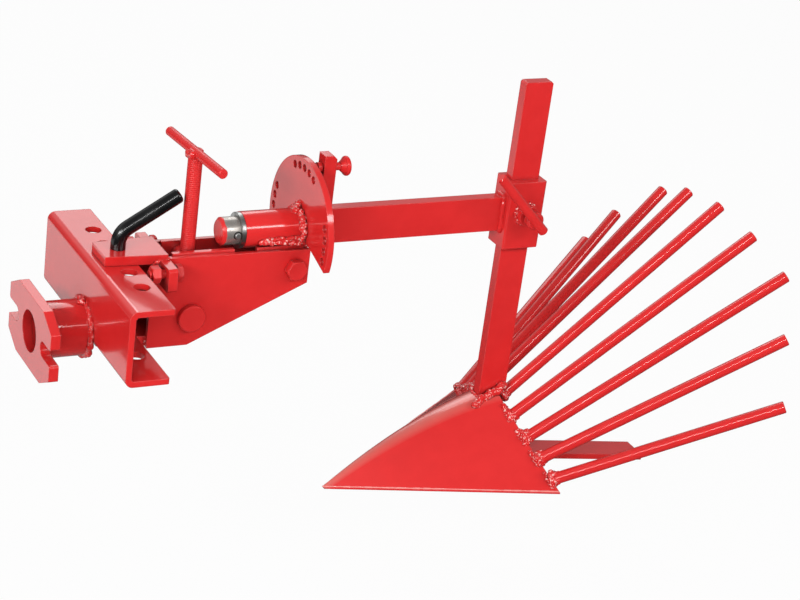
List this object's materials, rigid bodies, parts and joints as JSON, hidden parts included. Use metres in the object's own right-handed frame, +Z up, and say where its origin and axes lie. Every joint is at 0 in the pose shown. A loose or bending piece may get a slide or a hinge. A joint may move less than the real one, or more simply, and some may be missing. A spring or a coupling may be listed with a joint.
{
  "type": "walk-behind potato digger",
  "caption": "Potato-lifting plough for a walk-behind tractor: hitch flange and swinging drawbar, tilt and roll adjusters, and a ridged share with a fan of rear tines on a sliding shank.",
  "frame": {"origin": "centre of the hitch bore on the front face of the hitch flange", "axes": "+X rearward along the hitch axis, +Y to the far side, +Z up"},
  "size_m": [0.9938, 0.5473, 0.5714],
  "materials": {
    "red_paint": "gloss enamel",
    "black_vinyl": "gloss dip",
    "bare_steel": "turned steel with a painted end",
    "zinc_plate": "bright zinc",
    "spring_steel": "bright"
  },
  "bodies": {
    "hitch": {"hitch_flange": "red_paint", "hub_tube": "red_paint", "cross_channel": "red_paint"},
    "pin": {"hitch_pin": "red_paint", "pin_grip": "black_vinyl"},
    "box": {"upper_tongue": "red_paint", "lower_tongue": "red_paint", "side_plate_near": "red_paint", "side_plate_far": "red_paint", "stop_lug_near": "red_paint", "stop_lug_far": "red_paint", "stop_bolts": "red_paint", "stop_nuts": "red_paint", "swivel_block": "red_paint", "trunnion_pins": "red_paint", "pivot_bolt": "red_paint", "pivot_washer": "red_paint", "pivot_nut": "red_paint"},
    "screw": {"pitch_screw": "red_paint", "screw_collar": "red_paint", "tee_bar": "red_paint"},
    "nut": {"screw_nut": "red_paint"},
    "bracket": {"bracket_plate_near": "red_paint", "bracket_plate_far": "red_paint", "pivot_bush": "red_paint", "roll_tube": "red_paint", "index_disc": "red_paint"},
    "beam": {"roll_shaft": "bare_steel", "shaft_washer": "zinc_plate", "roll_pin": "spring_steel", "beam": "red_paint", "plunger_lug": "red_paint", "clamp_socket": "red_paint", "clamp_boss": "red_paint"},
    "plunger": {"index_plunger": "red_paint", "plunger_knob": "red_paint"},
    "clamp": {"clamp_screw": "red_paint", "clamp_bar": "red_paint"},
    "tool": {"shank": "red_paint", "share": "red_paint", "tine_1": "red_paint", "tine_2": "red_paint", "tine_3": "red_paint", "tine_4": "red_paint", "tine_5": "red_paint", "tine_6": "red_paint", "tine_7": "red_paint", "tine_8": "red_paint", "tine_9": "red_paint", "heel_bar": "red_paint", "heel_web": "red_paint"}
  },
  "joints": [
    {"name": "pin_lift", "type": "slide", "parent": "hitch", "child": "pin", "axis": [0, 0, 1], "range_m": [0, 0.135]},
    {"name": "drawbar_swing", "type": "hinge", "parent": "hitch", "child": "box", "pos_m": [0.104, 0, 0.04], "axis": [0, 0, 1], "range_deg": [-6, 6]},
    {"name": "pitch_screw_turn", "type": "hinge", "parent": "box", "child": "screw", "pos_m": [0.1935, 0, 0.1], "axis": [0, 0, -1], "range_deg": [-2160, 2160]},
    {"name": "screw_nut_slide", "type": "slide", "parent": "box", "child": "nut", "axis": [0, 0, 1], "range_m": [-0.01205, 0.01205]},
    {"name": "bracket_pitch", "type": "hinge", "parent": "box", "child": "bracket", "pos_m": [0.327, 0, 0.0683], "axis": [0, 1, 0], "range_deg": [-5.18, 5.18]},
    {"name": "beam_roll", "type": "hinge", "parent": "bracket", "child": "beam", "pos_m": [0.3, 0, 0.1128], "axis": [1, 0, 0], "range_deg": [-102, 102]},
    {"name": "plunger_slide", "type": "slide", "parent": "beam", "child": "plunger", "axis": [-1, 0, 0], "range_m": [0, 0.008]},
    {"name": "clamp_turn", "type": "hinge", "parent": "beam", "child": "clamp", "pos_m": [0.6528, -0.03, 0.1168], "axis": [0, -1, 0], "range_deg": [0, 360]},
    {"name": "shank_slide", "type": "slide", "parent": "beam", "child": "tool", "axis": [0, 0, 1], "range_m": [-0.11, 0.14]}
  ],
  "couplings": [
    {"joint": "screw_nut_slide", "follows": "pitch_screw_turn", "m_per_rad": 0.00031831},
    {"joint": "bracket_pitch", "follows": "pitch_screw_turn", "ratio": 0.0023843}
  ]
}
